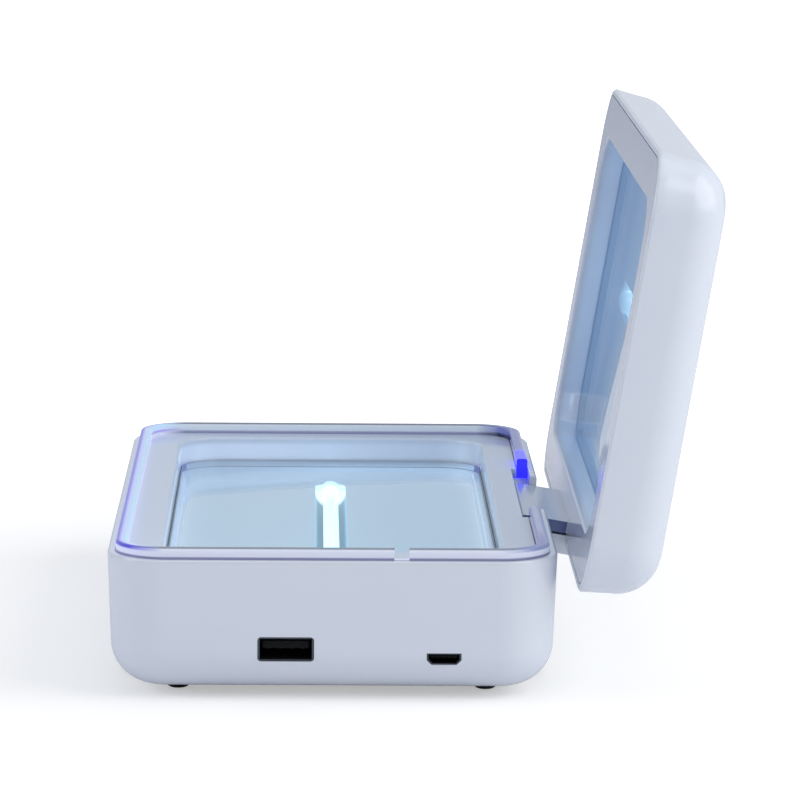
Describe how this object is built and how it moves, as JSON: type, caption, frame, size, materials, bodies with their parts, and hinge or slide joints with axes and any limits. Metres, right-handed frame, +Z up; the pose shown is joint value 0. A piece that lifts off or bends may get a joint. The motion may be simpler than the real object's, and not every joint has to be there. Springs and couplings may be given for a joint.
{
  "type": "uv sanitizer box for phones",
  "caption": "Flat rectangular box with round corners: a base and a hinged lid, each with a lamp behind a window, a clear lit ring round the base, sockets in one end and a start button.",
  "frame": {"origin": "centre between the four feet, on the surface that the box stands on", "axes": "+Z up; X along the hinge, +X towards the end with the sockets; -Y the side that opens, +Y the hinge"},
  "size_m": [0.2, 0.1525, 0.1365],
  "materials": {
    "housing_plastic": "glossy white moulded plastic",
    "tray_plastic": "glossy white moulded plastic, cool tint",
    "clear_plastic": "clear light guide, lit blue",
    "window_glass": "clear plate",
    "reflector_white": "white reflector",
    "lamp_glass": "lit tube",
    "silicone": "soft holder",
    "led_blue": "lit",
    "board_green": "board",
    "socket_metal": "plated sheet metal",
    "black_plastic": "satin",
    "pin_steel": "ground",
    "foot_rubber": "black",
    "screw_steel": "plated",
    "magnet_metal": "plated"
  },
  "bodies": {
    "base": {"base_shell": "housing_plastic", "base_tray": "tray_plastic", "light_ring": "clear_plastic", "base_window": "window_glass", "base_reflector": "reflector_white", "base_lamp": "lamp_glass", "base_lamp_holder_near": "silicone", "base_lamp_holder_far": "silicone", "ring_led_near": "led_blue", "ring_led_far": "led_blue", "main_board": "board_green", "usb_a_socket": "socket_metal", "micro_usb_socket": "socket_metal", "lamp_driver": "black_plastic", "lid_sensor": "black_plastic", "switch_board": "board_green", "switch_body": "black_plastic", "hinge_pin": "pin_steel", "washer_near": "pin_steel", "washer_far": "pin_steel", "foot_1": "foot_rubber", "foot_2": "foot_rubber", "foot_3": "foot_rubber", "foot_4": "foot_rubber", "case_screw_1": "screw_steel", "case_screw_2": "screw_steel", "case_screw_3": "screw_steel", "case_screw_4": "screw_steel"},
    "lid": {"lid_shell": "housing_plastic", "lid_tray": "tray_plastic", "lid_window": "window_glass", "lid_reflector": "reflector_white", "lid_lamp": "lamp_glass", "lid_lamp_holder_near": "silicone", "lid_lamp_holder_far": "silicone", "lid_magnet": "magnet_metal"},
    "button": {"start_button": "housing_plastic"}
  },
  "joints": [
    {"name": "lid_hinge", "type": "hinge", "parent": "base", "child": "lid", "pos_m": [0, 0.05315, 0.0303], "axis": [1, 0, 0], "range_deg": [0, 99.46]},
    {"name": "button_press", "type": "slide", "parent": "base", "child": "button", "axis": [0, 1, 0], "range_m": [0, 0.0006], "stiffness_N_per_m": 800}
  ]
}
